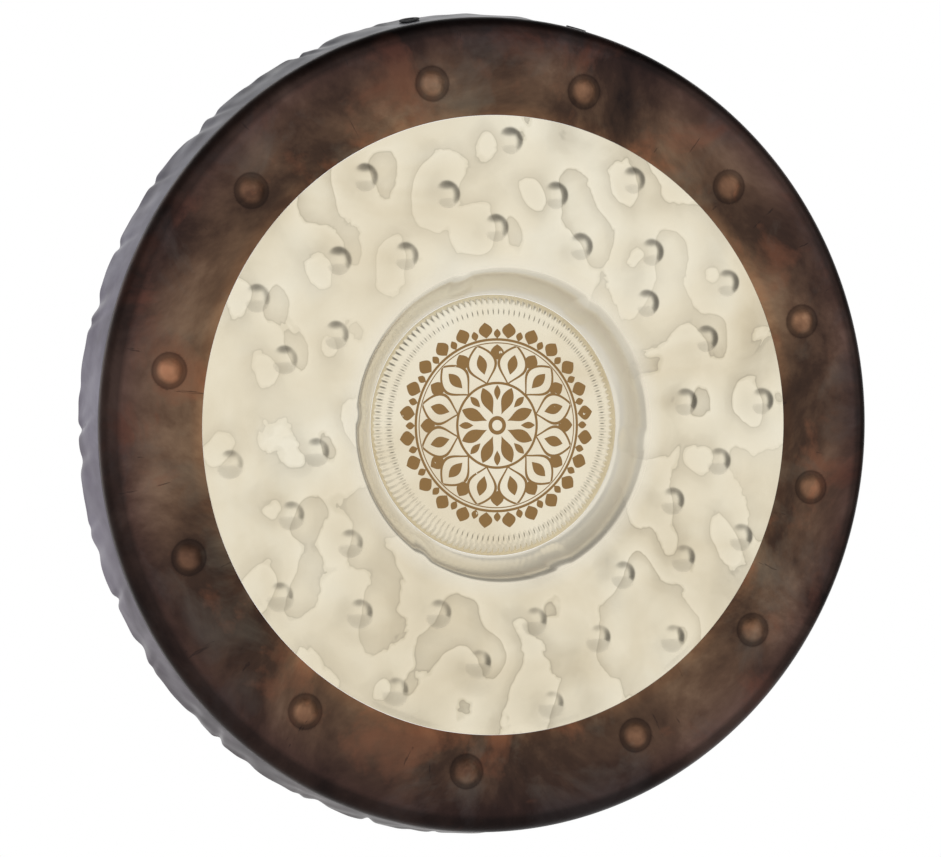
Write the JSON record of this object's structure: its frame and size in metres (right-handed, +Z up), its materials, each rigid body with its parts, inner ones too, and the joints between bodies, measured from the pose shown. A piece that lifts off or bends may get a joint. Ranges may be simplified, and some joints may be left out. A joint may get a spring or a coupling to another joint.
{
  "type": "gong",
  "caption": "Hammered metal gong with a turned-back pleated rim, dark patina ring, polished bumped playing field and a sunken reeded boss.",
  "frame": {"origin": "middle of the line between the two suspension holes in the rim, where the gong hangs", "axes": "+Z up as the gong hangs, -Y out of the playing face, +X to the right as seen by the player"},
  "size_m": [0.6768, 0.0534, 0.6775],
  "materials": {
    "boss": "polished pale nickel-brass, engraved",
    "playing_field": "polished pale nickel-brass, hammered",
    "patina_ring": "dark brown hammered patina, satin",
    "rim_band": "grey-brown hammered patina, satin",
    "hole_bush": "matt black rubber"
  },
  "bodies": {
    "root": {"boss": "boss", "playing_field": "playing_field", "patina_ring": "patina_ring", "rim_band": "rim_band", "hole_bush_left": "hole_bush", "hole_bush_right": "hole_bush"}
  },
  "joints": []
}
